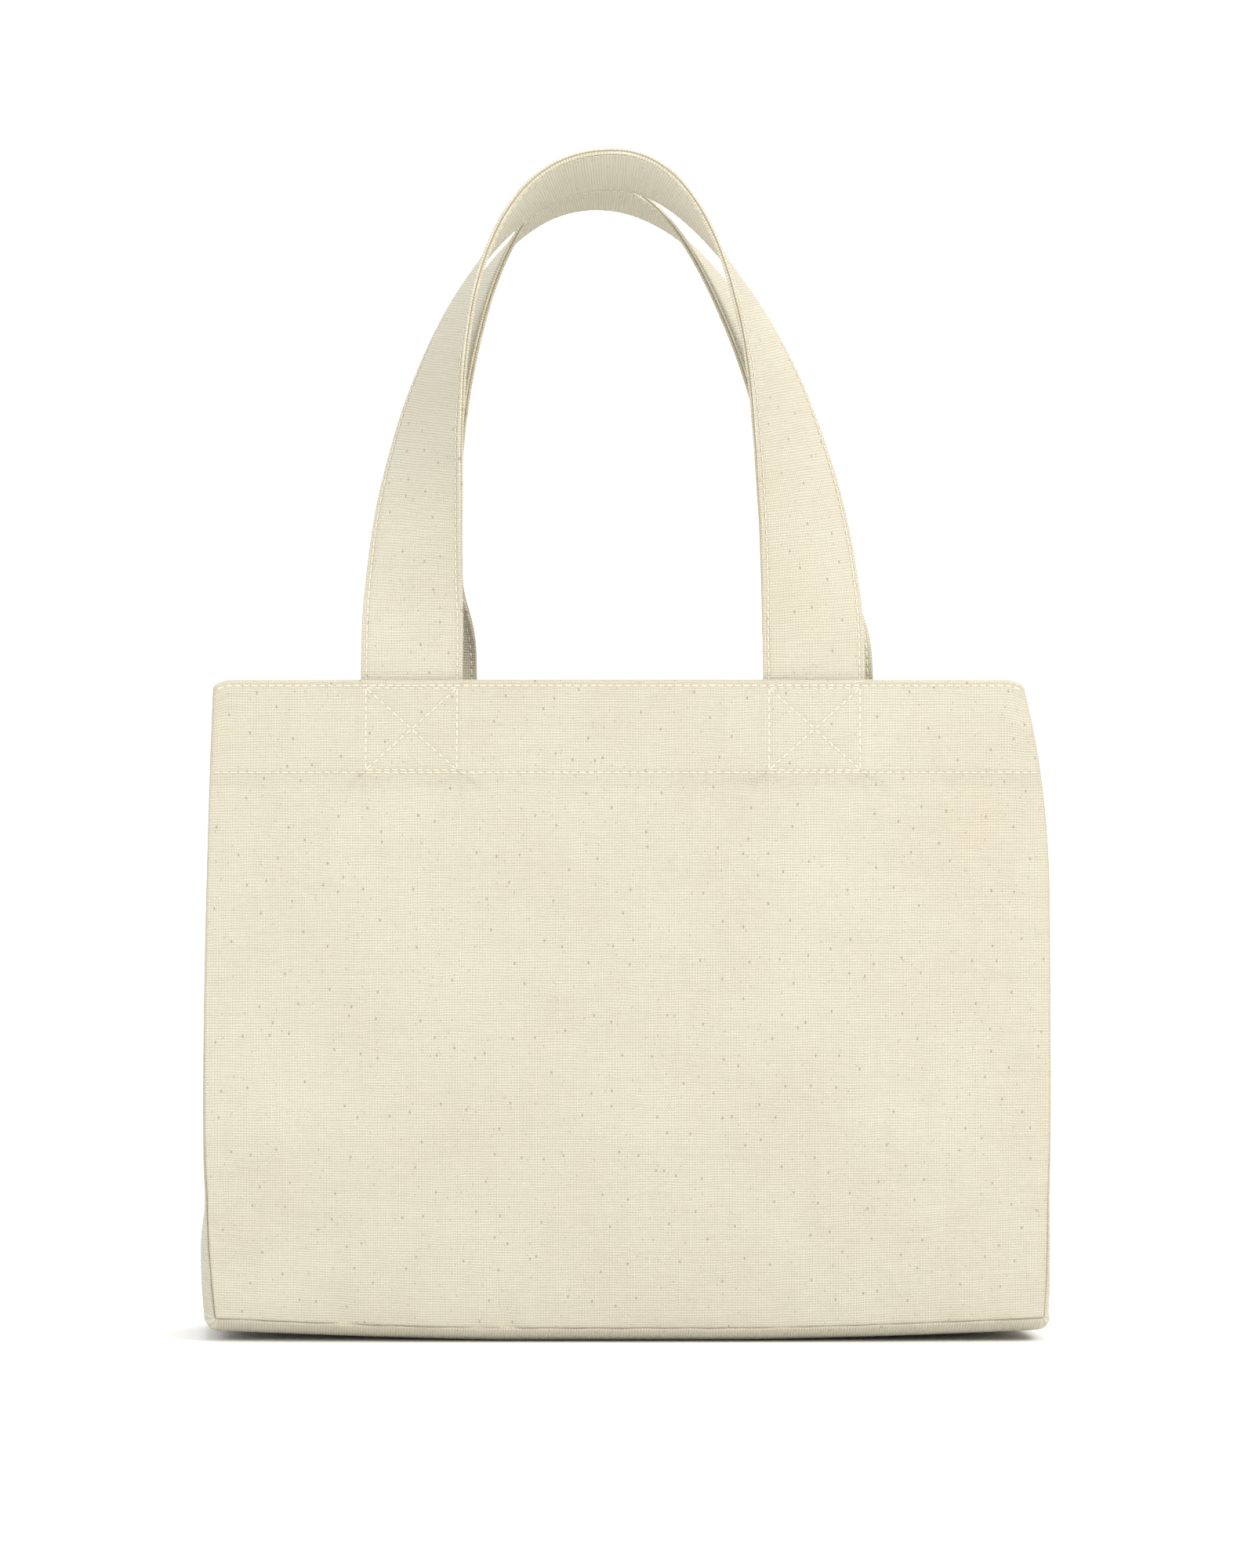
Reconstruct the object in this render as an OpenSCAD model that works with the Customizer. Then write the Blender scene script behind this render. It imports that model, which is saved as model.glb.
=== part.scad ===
// Canvas tote bag, standing open on its gusseted base, in millimetres.
// Origin: centre of the footprint on the floor. +Z up, front panel faces -Y, +X to a facing viewer's right.

/* [Body] */
// height of the hemmed mouth edge above the floor
mouth_height = 284; // [250:1:320]
// distance from the middle to the front panel's left edge where it is widest
left_reach = 179.2; // [150:0.1:200]
// distance from the middle to the front panel's right edge where it is widest
right_reach = 183.8; // [150:0.1:200]
// height at which the panel is widest
widest_height = 88; // [60:1:120]
// how far the left edge pulls in at the bottom corner
low_pull_left = 4.7; // [0:0.1:12]
// how far the right edge pulls in at the bottom corner
low_pull_right = 2.4; // [0:0.1:12]
// how far the left edge leans in at the mouth
top_lean_left = 3; // [0:0.1:15]
// how far the right edge leans in at the mouth
top_lean_right = 10.5; // [0:0.1:15]
// height above which the right edge starts to lean in
lean_start = 190; // [100:1:240]
// sideways shift of the back panel at the floor, which shows a strip of gusset on the left
rack = 6; // [0:0.1:15]
// height at which that shift has faded out
rack_height = 240; // [100:1:280]
// height of the bottom seams above the floor
seam_lift = 6; // [2:0.1:15]
// how much the base lifts off the floor at its ends
end_lift = 4.2; // [0:0.1:10]
// half the length of the base that rests flat on the floor
flat_reach = 50; // [30:1:120]
// share of the base's width that rests flat on the floor
flat_share = 0.6; // [0.3:0.05:0.8]
// how much the mouth edge dips at the side seams
corner_dip = 2.6; // [0:0.1:8]

/* [Depth] */
// finished width of the gusset strip
gusset_width = 101.6; // [60:0.1:160]
// half the depth between the side seams at the floor
base_half_depth = 47; // [30:0.5:60]
// how far each side seam draws in towards the middle at the mouth
mouth_draw_in = 23; // [0:0.5:35]
// how late the drawing in comes, 1 is straight
draw_in_power = 1.3; // [1:0.05:3]
// how far the panels bow outwards between the seams at the floor
bow_low = 2; // [0:0.1:10]
// how far the panels bow outwards between the seams at the mouth
bow_high = 6; // [0:0.1:15]
// how far the lower gusset bulges outwards past the seams
gusset_bulge = 4; // [0:0.1:10]
// roundness of the inward crease of the side gusset
crease_softness = 0.09; // [0.03:0.01:0.4]

/* [Cloth] */
// thickness of one layer of canvas with its finish
canvas = 1; // [0.6:0.05:1.6]
// thickness of the turned hem, three layers
hem_thickness = 2.1; // [1.5:0.1:4]
// depth of the hem below the mouth edge
hem_depth = 41.2; // [20:0.5:60]
// width of the seam allowance inside the bag
allowance_width = 9; // [5:0.5:15]
// thickness of the overlocked seam allowance
allowance_thickness = 1.5; // [1:0.1:3]
// air left between pieces that are sewn to each other
sewn_gap = 0.1; // [0.05:0.01:0.3]

/* [Handles] */
// width of the folded strap
strap_width = 44; // [25:0.5:60]
// thickness of the folded strap, four layers
strap_thickness = 3; // [2:0.1:6]
// middle of the left leg of the front handle at the mouth
front_leg_left = -90.5; // [-130:0.5:-50]
// middle of the right leg of the front handle at the mouth
front_leg_right = 83; // [50:0.5:130]
// middle of the left leg of the back handle at the mouth
back_leg_left = -85.5; // [-130:0.5:-50]
// middle of the right leg of the back handle at the mouth
back_leg_right = 88.5; // [50:0.5:130]
// height of the front handle's crown above the mouth, at the strap's middle
front_rise = 219.2; // [120:1:320]
// height of the back handle's crown above the mouth, at the strap's middle
back_rise = 213.6; // [120:1:320]
// how far each handle's crown stands from the bag's middle plane
crown_offset = 24; // [22:0.5:32]
// how far the front handle's crown leans to the right of the middle between its legs
front_lean = 2; // [-30:0.5:30]
// how far the back handle's crown leans to the right of the middle between its legs
back_lean = -13.5; // [-30:0.5:30]
// how late the sideways lean comes up a handle
lean_power = 1.3; // [1:0.05:3]
// squareness of the left shoulder of the front handle, 2 is an ellipse
front_shoulder_left = 2.4; // [1.5:0.05:3]
// squareness of the right shoulder of the front handle
front_shoulder_right = 1.9; // [1.5:0.05:3]
// squareness of the left shoulder of the back handle
back_shoulder_left = 2; // [1.5:0.05:3]
// squareness of the right shoulder of the back handle
back_shoulder_right = 2; // [1.5:0.05:3]
// turn of the front strap about its own length at the crown, in degrees
front_roll = 107; // [60:1:130]
// turn of the back strap about its own length below the crown, in degrees
back_roll = 80; // [60:1:130]
// turn added to the back strap close to the crown, in degrees
back_extra_roll = 21; // [0:1:40]
// how late that added turn comes
extra_roll_power = 8; // [2:0.5:12]
// how late the turn comes along the front strap
front_roll_power = 1.1; // [0.3:0.05:2]
// how late the turn comes along the back strap
back_roll_power = 0.35; // [0.3:0.05:2]
// share of a handle's rise over which the strap leaves the mouth flat
straight_part = 0.2; // [0.05:0.01:0.4]
// air between the sewn strap end and the free loop at the mouth edge
hinge_gap = 0.8; // [0.3:0.1:3]

/* [Stitching] */
// width of a row of stitching
thread_width = 0.9; // [0.4:0.1:2]
// height of the thread above the cloth
thread_height = 0.4; // [0.2:0.05:1]
// distance of the upper hem row from the mouth edge
mouth_row_inset = 2.6; // [1.5:0.1:8]
// distance of the lower hem row from the lower end of the hem
hem_row_inset = 1.2; // [0.5:0.1:6]
// distance of the strap's stitching from its edges
strap_row_inset = 2.4; // [1.5:0.1:8]
// height of the stitched box that holds a strap end
box_height = 36; // [20:0.5:60]

/* [Hidden] */
half_gusset = gusset_width / 2;
hem_start = mouth_height - hem_depth;
lower_corner = 2;
crease_start = 30;
crease_full = 120;
bulge_end = 110;
dip_reach = 8;
rack_power = 1.3;
back_inset = 1;
end_lift_power = 1.4;
floor_drop_power = 2.5;
side_bulge_power = 4;
hem_step = 0.6;
top_band = 2;
side_bottom = 22;
panel_columns = 22;
panel_rows = 9;
gusset_columns = 18;
side_rows = 9;
bottom_rows = 18;
corner_turn = 22.5;
allowance_rows = 12;
end_rows = 4;
end_columns = 4;
strap_stations = 60;
row_stations = 30;
row_margin = 0.006;
share_step = 0.01;
angle_step = 0.2;
thread_lift = sewn_gap;
box_lift = 2 * thread_lift;
end_top_gap = 0.5;
end_bottom_gap = 1;
seam_clearance = 0.45;
allowance_clearance = 0.5;
allowance_top_gap = 2;
allowance_bottom = 20;
corner_clip = 13;
FRONT = -1;
BACK = 1;
LEFT = -1;
RIGHT = 1;

function clamp01(t) = min(1, max(0, t));
function sq(t) = t * t;
function ease(t) = sq(clamp01(t)) * (3 - 2 * clamp01(t));
function mix(a, b, t) = a + (b - a) * t;
function below(z) = sq(clamp01(1 - z / widest_height));
function above(z, start) = sq(clamp01((z - start) / (mouth_height - start)));
function shift_back(z) = rack * (1 - pow(clamp01(z / rack_height), rack_power));

// Edges of a panel at height z, seen from the front.
function left_edge(face, z) =
    -left_reach + low_pull_left * below(z) + top_lean_left * above(z, widest_height)
    + (face == BACK ? back_inset - shift_back(z) : 0);
function right_edge(face, z) =
    right_reach - low_pull_right * below(z) - top_lean_right * above(z, lean_start)
    - (face == BACK ? back_inset + shift_back(z) : 0);
function edge(face, side, z) = side == LEFT ? left_edge(face, z) : right_edge(face, z);

// Depth of the bag: half the distance between the side seams, and the panels' bow between them.
function half_depth(z) =
    base_half_depth - mouth_draw_in * pow(clamp01(z / mouth_height), draw_in_power);
function bow(z) = mix(bow_low, bow_high, clamp01(z / mouth_height));
function across(face, x, z) =
    clamp01((x - left_edge(face, z)) / (right_edge(face, z) - left_edge(face, z)));
function panel_y(face, x, z) =
    face * (half_depth(z) + bow(z) * (1 - sq(2 * across(face, x, z) - 1)));
function crease(z) =
    sqrt(max(0, sq(half_gusset) - sq(half_depth(z))))
    * ease((z - crease_start) / (crease_full - crease_start));
function cloth(z) = z > hem_start ? hem_thickness : canvas;

// Height of the bottom seam and of the mouth edge at x.
function bottom_z(x) =
    seam_lift + end_lift * pow(max(0, abs(x) - flat_reach) / (left_reach - flat_reach), end_lift_power);
function mouth_dip(face, x) =
    corner_dip * sq(clamp01(1 - min(x - left_edge(face, mouth_height),
                                    right_edge(face, mouth_height) - x) / dip_reach));

// A closed solid through rings of points. Each ring is one outer row followed by one inner row, reversed.
module loft(rings, flip = false) {
    n = len(rings[0]);
    m = len(rings);
    points = [for (r = rings) for (p = r) p];
    skin = [for (i = [0:m - 2]) for (k = [0:n - 1])
        let (a = i * n + k, b = i * n + (k + 1) % n, c = a + n, d = b + n)
        for (t = [[a, b, d], [a, d, c]]) t];
    caps = [for (e = [0, m - 1]) for (k = [0:n / 2 - 2])
        let (a = e * n + k, b = a + 1, c = e * n + n - 2 - k, d = c + 1)
        for (t = [[a, c, b], [a, d, c]]) e == 0 ? t : [t[2], t[1], t[0]]];
    faces = concat(skin, caps);
    polyhedron(points = points, faces = flip ? faces : [for (f = faces) [f[2], f[1], f[0]]], convexity = 8);
}

function reversed(list) = [for (i = [len(list) - 1:-1:0]) list[i]];

// Heights at which a panel has a row of points. The hem starts in a short step.
function panel_heights() = concat(
    [for (i = [0:panel_rows]) mix(0, hem_start - hem_step, i / panel_rows)],
    [hem_start + hem_step, mix(hem_start, mouth_height, 0.5), mouth_height - top_band, mouth_height]);

function panel_point(face, u, z, inset) =
    let (x = mix(left_edge(face, z), right_edge(face, z), u),
         floor_part = 1 - clamp01(z / widest_height),
         top_part = clamp01((z - hem_start) / hem_depth),
         height = z + bottom_z(x) * floor_part - mouth_dip(face, x) * top_part)
    [x, panel_y(face, x, z) - face * inset, height];

module panel(face) {
    rings = [for (z = panel_heights()) concat(
        [for (j = [0:panel_columns]) panel_point(face, j / panel_columns, z, 0)],
        [for (j = [panel_columns:-1:0]) panel_point(face, j / panel_columns, z, cloth(z))])];
    loft(rings, face == BACK);
}

// One station of the gusset's path: [direction out of the bag, front seam, back seam, nominal height].
function side_station(side, z) = [[side, 0, 0],
    [edge(FRONT, side, z), panel_y(FRONT, edge(FRONT, side, z), z), z],
    [edge(BACK, side, z), panel_y(BACK, edge(BACK, side, z), z), z], z];
function corner_station(side, turn) =
    let (out = [side * cos(turn), 0, -sin(turn)],
         f = edge(FRONT, side, 0) - side * lower_corner,
         b = edge(BACK, side, 0) - side * lower_corner)
    [out,
     [f, -base_half_depth, bottom_z(f) + lower_corner] + lower_corner * out,
     [b, base_half_depth, bottom_z(b) + lower_corner] + lower_corner * out, 0];
function bottom_station(t) =
    let (f = mix(left_edge(FRONT, 0) + lower_corner, right_edge(FRONT, 0) - lower_corner, t),
         b = mix(left_edge(BACK, 0) + lower_corner, right_edge(BACK, 0) - lower_corner, t))
    [[0, 0, -1], [f, panel_y(FRONT, f, 0), bottom_z(f)], [b, panel_y(BACK, b, 0), bottom_z(b)], 0];

function side_heights() = concat(
    [mouth_height, mouth_height - top_band, mix(mouth_height, hem_start, 0.5)],
    [hem_start + hem_step, hem_start - hem_step],
    [for (i = [1:side_rows]) mix(hem_start, side_bottom, i / side_rows)]);
function gusset_path() = concat(
    [for (z = side_heights()) side_station(LEFT, z)],
    [for (a = [0:corner_turn:90]) corner_station(LEFT, a)],
    [for (i = [1:bottom_rows - 1]) bottom_station(i / bottom_rows)],
    [for (a = [90:-corner_turn:0]) corner_station(RIGHT, a)],
    [for (z = reversed(side_heights())) side_station(RIGHT, z)]);

// How far the gusset stands out past its seams at v across it. Negative is the inward crease.
function tent(v) =
    (sqrt(1 + sq(crease_softness)) - sqrt(sq(2 * v - 1) + sq(crease_softness)))
    / (sqrt(1 + sq(crease_softness)) - crease_softness);
// At w, 0 in the middle of the strip and 1 at a seam, the sides bulge and the base drops to the floor.
function side_bulge(z, w) = gusset_bulge * (1 - ease(z / bulge_end)) * (1 - pow(w, side_bulge_power));
function floor_drop(w) = seam_lift * (1 - pow(max(0, w - flat_share) / (1 - flat_share), floor_drop_power));
function stand_out(st, v) =
    let (w = abs(2 * v - 1), down = -st[0][2], z = st[3])
    mix(side_bulge(z, w), floor_drop(w), down) - crease(z) * tent(v);

// A point on the gusset, inset towards the inside of the bag, square to the strip's own section.
function gusset_point(st, v, inset) =
    let (z = st[3],
         tuck = cloth(z) + seam_clearance + cloth(z) * crease(z) / half_gusset,
         f = st[1] + [0, tuck, 0],
         b = st[2] - [0, tuck, 0],
         lo = max(0, v - share_step),
         hi = min(1, v + share_step),
         run = (b[1] - f[1]) * (hi - lo),
         rise = stand_out(st, hi) - stand_out(st, lo),
         size = sqrt(sq(run) + sq(rise)),
         out = (run * st[0] - [0, rise, 0]) / size)
    mix(f, b, v) + stand_out(st, v) * st[0] - inset * out;

module gusset() {
    color("#E6DDC4") loft([for (st = gusset_path()) concat(
        [for (j = [0:gusset_columns]) gusset_point(st, j / gusset_columns, 0)],
        [for (j = [gusset_columns:-1:0]) gusset_point(st, j / gusset_columns, cloth(st[3]))])]);
}

module front_panel() {
    color("#EAE2CB") panel(FRONT);
}

module back_panel() {
    color("#EAE2CB") panel(BACK);
}

// The overlocked seam allowance stands into the bag along the middle of the corner between panel and gusset.
function allowance_ring(face, st) =
    let (seam = face == FRONT ? st[1] : st[2],
         z = st[3],
         wedge = atan2(half_depth(z), crease(z)),
         inward = [0, -face, 0],
         along = cos(wedge / 2) * -st[0] + sin(wedge / 2) * inward,
         square = -sin(wedge / 2) * -st[0] + cos(wedge / 2) * inward,
         start = seam + (canvas + sewn_gap) * inward + canvas * -st[0]
             + (allowance_thickness / 2 + allowance_clearance) / tan(wedge / 2) * along,
         end = start + allowance_width * along,
         half = allowance_thickness / 2 * square)
    [start + half, end + half, end - half, start - half];

module seam_allowance(face) {
    n = allowance_rows;
    top = hem_start - allowance_top_gap;
    from = corner_clip / (2 * left_reach);
    for (side = [LEFT, RIGHT])
        loft([for (i = [0:n]) allowance_ring(face, side_station(side, mix(top, allowance_bottom, i / n)))],
            (face == FRONT) == (side == RIGHT));
    loft([for (i = [0:n]) allowance_ring(face, bottom_station(mix(from, 1 - from, i / n)))], face == BACK);
}

module front_seam_allowance() {
    color("#E2D9BE") seam_allowance(FRONT);
}

module back_seam_allowance() {
    color("#E2D9BE") seam_allowance(BACK);
}

// A row of stitching round the mouth at height z: one run on each panel and one on each side of the gusset.
module stitch_row(z) {
    half = thread_width / 2;
    for (face = [FRONT, BACK])
        loft([for (i = [0:row_stations])
            let (u = mix(row_margin, 1 - row_margin, i / row_stations))
            [for (c = [[-half, 1], [half, 1], [half, 0], [-half, 0]])
                panel_point(face, u, z + c[0], -thread_lift - c[1] * thread_height)]], face == FRONT);
    for (side = [LEFT, RIGHT])
        loft([for (j = [1:gusset_columns - 1])
            let (v = j / gusset_columns)
            [for (c = [[-half, 1], [half, 1], [half, 0], [-half, 0]])
                gusset_point(side_station(side, z + c[0]), v, -thread_lift - c[1] * thread_height)]],
            side == RIGHT);
}

module mouth_edge_stitching() {
    color("#F2EBD6") stitch_row(mouth_height - mouth_row_inset);
}

module hem_stitching() {
    color("#F2EBD6") stitch_row(hem_start + hem_row_inset);
}

// A strap end lies inside the hem, sewn flat to it.
function leg_x(face, side) =
    face == FRONT ? (side == LEFT ? front_leg_left : front_leg_right)
                  : (side == LEFT ? back_leg_left : back_leg_right);

module handle_end(face, side) {
    middle = leg_x(face, side);
    near = hem_thickness + sewn_gap;
    far = near + strap_thickness;
    loft([for (i = [0:end_rows])
        let (z = mix(hem_start + end_bottom_gap, mouth_height - end_top_gap, i / end_rows))
        concat(
            [for (j = [0:end_columns])
                let (x = middle + strap_width * (j / end_columns - 0.5))
                [x, panel_y(face, x, z) - face * near, z]],
            [for (j = [end_columns:-1:0])
                let (x = middle + strap_width * (j / end_columns - 0.5))
                [x, panel_y(face, x, z) - face * far, z]])], face == BACK);
}

module front_handle_end_left() {
    color("#EBE3CC") handle_end(FRONT, LEFT);
}

module front_handle_end_right() {
    color("#EBE3CC") handle_end(FRONT, RIGHT);
}

module back_handle_end_left() {
    color("#EBE3CC") handle_end(BACK, LEFT);
}

module back_handle_end_right() {
    color("#EBE3CC") handle_end(BACK, RIGHT);
}

// The stitched square with its two diagonals, flat, centred on its own origin.
module box_pattern() {
    w = strap_width - 2 * strap_row_inset + thread_width;
    slope = atan2(box_height - thread_width, w - thread_width);
    reach = sqrt(sq(box_height - thread_width) + sq(w - thread_width));
    difference() {
        square([w, box_height], center = true);
        square([w - 2 * thread_width, box_height - 2 * thread_width], center = true);
    }
    for (turn = [slope, -slope])
        rotate(turn) square([reach, thread_width], center = true);
}

module box_stitch(face, side) {
    x = leg_x(face, side);
    z = mix(hem_start + hem_row_inset, mouth_height - mouth_row_inset, 0.5);
    step = 1;
    lean = atan2(panel_y(FRONT, x, z + step) - panel_y(FRONT, x, z - step), 2 * step);
    swing = atan2(panel_y(face, x + step, z) - panel_y(face, x - step, z), 2 * step);
    translate([x, panel_y(face, x, z) + face * box_lift, z])
        rotate([0, 0, swing])
            rotate([face == FRONT ? 90 - lean : 90 + lean, 0, 0])
                translate([0, 0, face == FRONT ? 0 : -thread_height])
                    linear_extrude(thread_height) box_pattern();
}

module box_stitch_front_left() {
    color("#F2EBD6") box_stitch(FRONT, LEFT);
}

module box_stitch_front_right() {
    color("#F2EBD6") box_stitch(FRONT, RIGHT);
}

module box_stitch_back_left() {
    color("#F2EBD6") box_stitch(BACK, LEFT);
}

module box_stitch_back_right() {
    color("#F2EBD6") box_stitch(BACK, RIGHT);
}

// The free loop of a handle. a runs from -90 at the left leg through 0 at the crown to 90 at the right leg.
function rise(face) = face == FRONT ? front_rise : back_rise;
function shoulder(face, a) =
    face == FRONT ? (a < 0 ? front_shoulder_left : front_shoulder_right)
                  : (a < 0 ? back_shoulder_left : back_shoulder_right);
function loop_centre(face, a) =
    let (l = leg_x(face, LEFT), r = leg_x(face, RIGHT), p = 2 / shoulder(face, a),
         up = pow(cos(a), p),
         lean = (face == FRONT ? front_lean : back_lean) * pow(up, lean_power),
         x = (l + r) / 2 + (a < 0 ? -1 : 1) * (r - l) / 2 * pow(abs(sin(a)), p) + lean,
         foot = panel_y(face, l, mouth_height) - face * (hem_thickness + sewn_gap + strap_thickness / 2))
    [x, mix(foot, face * crown_offset, up), mouth_height + hinge_gap + rise(face) * up];
function loop_roll(face, a) =
    let (up = clamp01((loop_centre(face, a)[2] - mouth_height - hinge_gap) / rise(face)))
    (face == FRONT ? front_roll : back_roll)
    * pow(up, face == FRONT ? front_roll_power : back_roll_power)
    * ease(up / straight_part)
    + (face == FRONT ? 0 : back_extra_roll * pow(up, extra_roll_power));

// A point of the loop, w from the strap's middle line towards its outer edge and t from its middle layer.
// Both straps turn the same way, outer edge to the back.
function loop_point(face, a, w, t) =
    let (d = loop_centre(face, min(90, a + angle_step)) - loop_centre(face, max(-90, a - angle_step)),
         size = sqrt(sq(d[0]) + sq(d[2])),
         outward = [-d[2], 0, d[0]] / size,
         turn = loop_roll(face, a),
         wide = cos(turn) * outward + sin(turn) * [0, 1, 0],
         thick = cos(turn) * [0, -1, 0] + sin(turn) * outward)
    loop_centre(face, a) + w * wide + t * thick;

// Stations crowd a little towards the legs, where the strap starts to turn.
function loop_angle(i) = 90 * sin(90 * (2 * i / strap_stations - 1));

// A strip along the strap with points at the given distances from its middle, between two layers.
module strap_strip(face, columns, low, high) {
    loft([for (i = [0:strap_stations])
        let (a = loop_angle(i))
        concat(
            [for (w = columns) loop_point(face, a, w, high)],
            [for (w = reversed(columns)) loop_point(face, a, w, low)])], true);
}

module strap(face) {
    half = strap_width / 2;
    inner = half - strap_row_inset - thread_width / 2;
    outer = half - strap_row_inset + thread_width / 2;
    strap_strip(face, [-half, -outer, -inner, -inner / 2, 0, inner / 2, inner, outer, half],
        -strap_thickness / 2, strap_thickness / 2);
}

module strap_rows(face) {
    row = strap_width / 2 - strap_row_inset;
    near = strap_thickness / 2 + 2 * thread_lift;
    for (middle = [-row, row]) {
        edges = [middle - thread_width / 2, middle + thread_width / 2];
        strap_strip(face, edges, near, near + thread_height);
        strap_strip(face, edges, -near - thread_height, -near);
    }
}

module front_handle_loop() {
    color("#EBE3CC") strap(FRONT);
}

module back_handle_loop() {
    color("#DFD6BB") strap(BACK);
}

module front_handle_stitching() {
    color("#F2EBD6") strap_rows(FRONT);
}

module back_handle_stitching() {
    color("#F2EBD6") strap_rows(BACK);
}

front_panel();
back_panel();
gusset();
front_seam_allowance();
back_seam_allowance();
mouth_edge_stitching();
hem_stitching();
front_handle_end_left();
front_handle_end_right();
back_handle_end_left();
back_handle_end_right();
box_stitch_front_left();
box_stitch_front_right();
box_stitch_back_left();
box_stitch_back_right();
front_handle_loop();
front_handle_stitching();
back_handle_loop();
back_handle_stitching();
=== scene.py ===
# %% [markdown]
# # A canvas tote bag, cut and sewn in mesh code
# The real bag is five pieces of natural cotton duck: two panels, one long gusset strip that runs down the
# left side, under the base and up the right side, and two hand straps, each a strip folded to four layers.
# Thread holds them together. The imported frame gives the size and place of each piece. Here each one is
# built again as cloth: a thin closed sheet with rolled edges, waves and puckers, and thread that lies on it
# stitch by stitch.

# %% Load the frame
import math

import bpy
import numpy as np
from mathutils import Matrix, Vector, noise


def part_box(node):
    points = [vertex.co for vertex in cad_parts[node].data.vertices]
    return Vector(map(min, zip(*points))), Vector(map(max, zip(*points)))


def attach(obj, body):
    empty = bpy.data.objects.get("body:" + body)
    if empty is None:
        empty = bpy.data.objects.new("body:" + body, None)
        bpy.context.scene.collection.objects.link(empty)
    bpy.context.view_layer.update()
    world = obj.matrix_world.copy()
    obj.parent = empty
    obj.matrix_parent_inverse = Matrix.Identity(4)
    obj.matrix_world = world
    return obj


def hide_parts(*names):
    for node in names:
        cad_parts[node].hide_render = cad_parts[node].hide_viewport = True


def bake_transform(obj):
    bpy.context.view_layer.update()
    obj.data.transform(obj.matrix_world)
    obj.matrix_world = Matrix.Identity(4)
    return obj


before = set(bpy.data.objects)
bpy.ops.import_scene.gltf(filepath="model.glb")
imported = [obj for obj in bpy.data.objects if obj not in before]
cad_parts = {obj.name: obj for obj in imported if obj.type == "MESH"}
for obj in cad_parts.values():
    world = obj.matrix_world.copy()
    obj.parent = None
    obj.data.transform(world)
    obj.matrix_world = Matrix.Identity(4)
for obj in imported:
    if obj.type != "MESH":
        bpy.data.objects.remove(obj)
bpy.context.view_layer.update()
bpy.ops.object.select_all(action="DESELECT")

# %% [markdown]
# ## The camera and the room
# A long lens from 2.6 m away keeps the panel's edges nearly parallel, as they are on a well lit shop table.
# The floor and the wall behind it are one pale sheet of paper with a rounded bend, so no horizon line
# shows.

# %% Camera
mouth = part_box("front_panel")[1].z
focal, film = 140.0, 36.0
view_height, view_middle_height, view_middle_x = 0.670, 0.239, -0.0005
near_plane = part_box("front_panel")[0].y
camera_y = near_plane - view_height * focal / film
camera_place = (view_middle_x, camera_y, view_middle_height)
bpy.ops.object.camera_add(location=camera_place, rotation=(math.radians(90), 0, 0))
camera = bpy.context.object
camera.data.lens = focal
camera.data.sensor_fit = "VERTICAL"
camera.data.sensor_height = film
bpy.context.scene.camera = camera
print("camera stands", round(near_plane - camera_y, 3), "m from the front panel")

# %% Measures of the bag, in metres, as the CAD has them
MM = 0.001
FRONT, BACK, LEFT, RIGHT = -1, 1, -1, 1
left_reach = -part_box("front_panel")[0].x
right_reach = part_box("front_panel")[1].x
hem_depth, hem_thickness, cloth_thickness = 41.2 * MM, 2.1 * MM, 0.75 * MM
hem_start = mouth - hem_depth
half_gusset = 50.8 * MM
strap_width, strap_thickness, sewn_gap = 44 * MM, 3 * MM, 0.1 * MM
seam_lift, lower_corner = 6 * MM, 2 * MM
upper_row, lower_row = mouth - 2.6 * MM, hem_start + 1.2 * MM
stitch_pitch, stitch_length = 3.65 * MM, 2.95 * MM
print("mouth", round(mouth, 4), "left", round(left_reach, 4), "right", round(right_reach, 4))


# %% Small helpers for shapes
def clamp01(t):
    return min(1.0, max(0.0, t))


def ease(t):
    t = clamp01(t)
    return t * t * (3 - 2 * t)


def mix(a, b, t):
    return a + (b - a) * t


def bell(distance, width):
    return math.exp(-((distance / width) ** 2))


def steps(*stretches):
    """Positions along a line: each stretch is (end, step), and the first starts at 0."""
    places = [0.0]
    for end, step in stretches:
        start, count = places[-1], max(1, round((end - places[-1]) / step))
        places += [mix(start, end, (i + 1) / count) for i in range(count)]
    return places


# %% [markdown]
# ## The standing shape
# These functions repeat the outline and depth of the CAD solids. The bag leans a little, so the back
# panel's lower edge shows past the front one's on the left. Each panel bows out between its seams, and the
# side gussets crease inwards because the mouth is narrower than the strip is wide.

# %% Outline and depth
widest_height = 88 * MM
low_pull = {LEFT: 4.7 * MM, RIGHT: 2.4 * MM}  # how far an edge draws in at the bottom corner
top_lean = {LEFT: 3 * MM, RIGHT: 10.5 * MM}  # how far it leans in at the mouth
lean_start = {LEFT: widest_height, RIGHT: 190 * MM}
rack, rack_height, back_inset = 6 * MM, 240 * MM, 1 * MM  # the back panel's shift to the left at the floor
base_half_depth, mouth_draw_in, draw_in_power = 47 * MM, 23 * MM, 1.3
bow_low, bow_high = 2 * MM, 6 * MM
crease_start, crease_reach = 30 * MM, 90 * MM
flat_reach, end_lift, end_lift_power = 50 * MM, 4.2 * MM, 1.4
corner_dip, dip_reach = 2.6 * MM, 8 * MM
side_bulge_out, bulge_end = 4 * MM, 110 * MM
flat_share, drop_power = 0.6, 2.5


def below(z):
    return clamp01(1 - z / widest_height) ** 2


def above(z, start):
    return clamp01((z - start) / (mouth - start)) ** 2


def shift_back(z):
    return rack * (1 - clamp01(z / rack_height) ** 1.3)


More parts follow.
